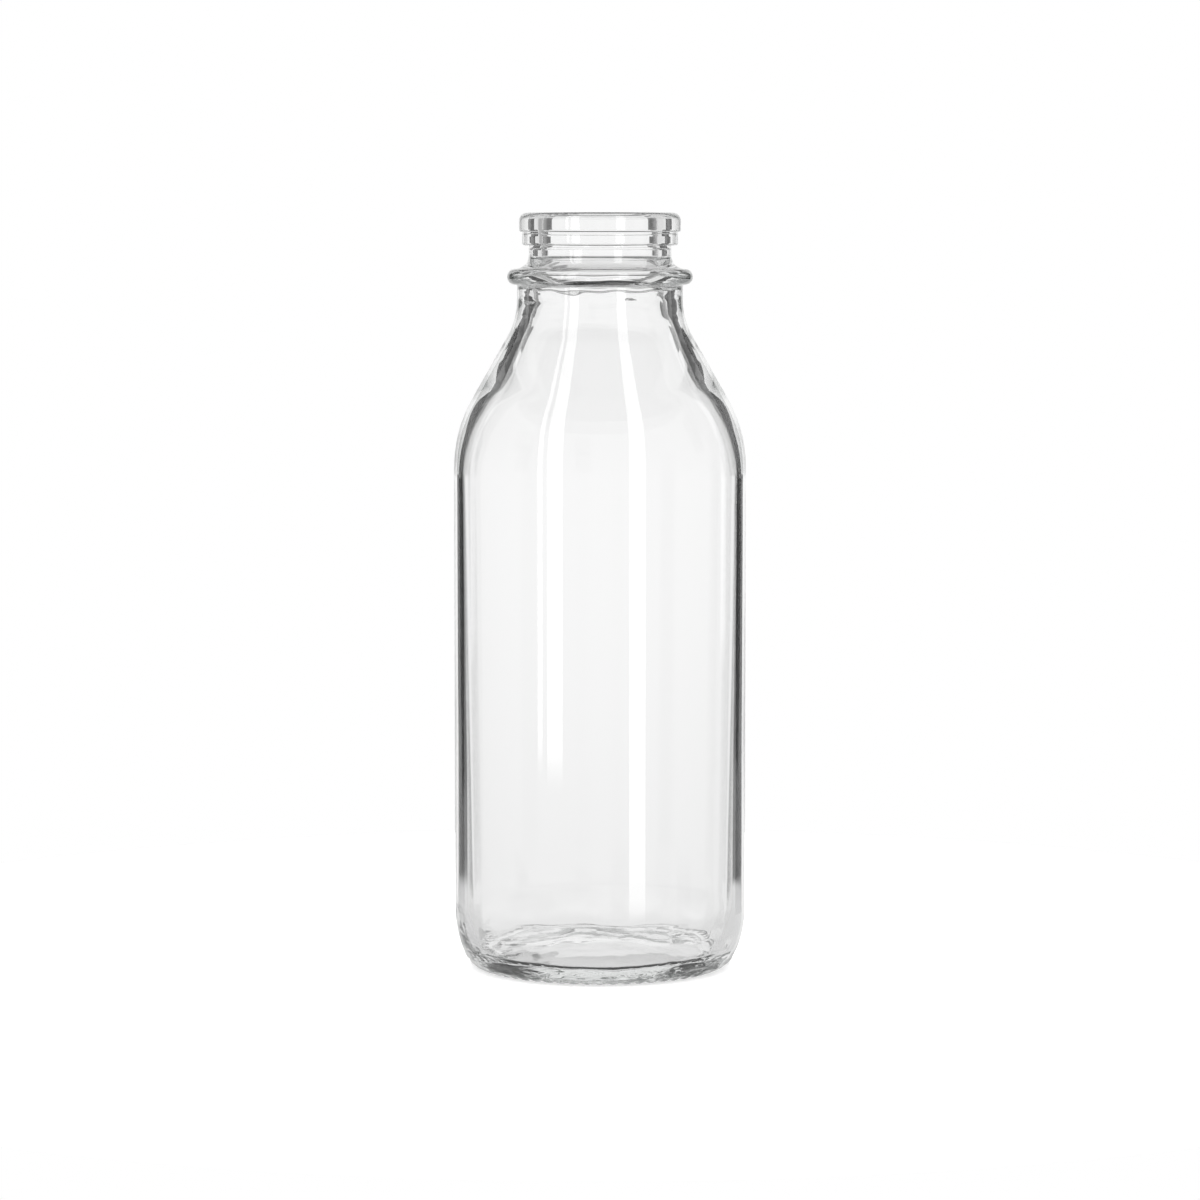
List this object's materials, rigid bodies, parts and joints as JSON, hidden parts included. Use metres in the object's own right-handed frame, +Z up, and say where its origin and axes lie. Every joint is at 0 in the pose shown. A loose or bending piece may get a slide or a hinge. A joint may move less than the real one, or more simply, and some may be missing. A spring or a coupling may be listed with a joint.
{
  "type": "glass milk bottle",
  "caption": "Round clear glass milk bottle with sloping shoulder, collared neck, double-bead lip for a snap cap, rounded heel and domed base; open mouth.",
  "frame": {"origin": "middle of the underside, in the plane of the foot ring that the bottle stands on", "axes": "+Z up along the bottle's axis, towards the mouth; the bottle is round, so +X and +Y are free"},
  "size_m": [0.088, 0.088, 0.228],
  "materials": {
    "clear_glass": "gloss"
  },
  "bodies": {
    "root": {"glass_bottle": "clear_glass"}
  },
  "joints": []
}
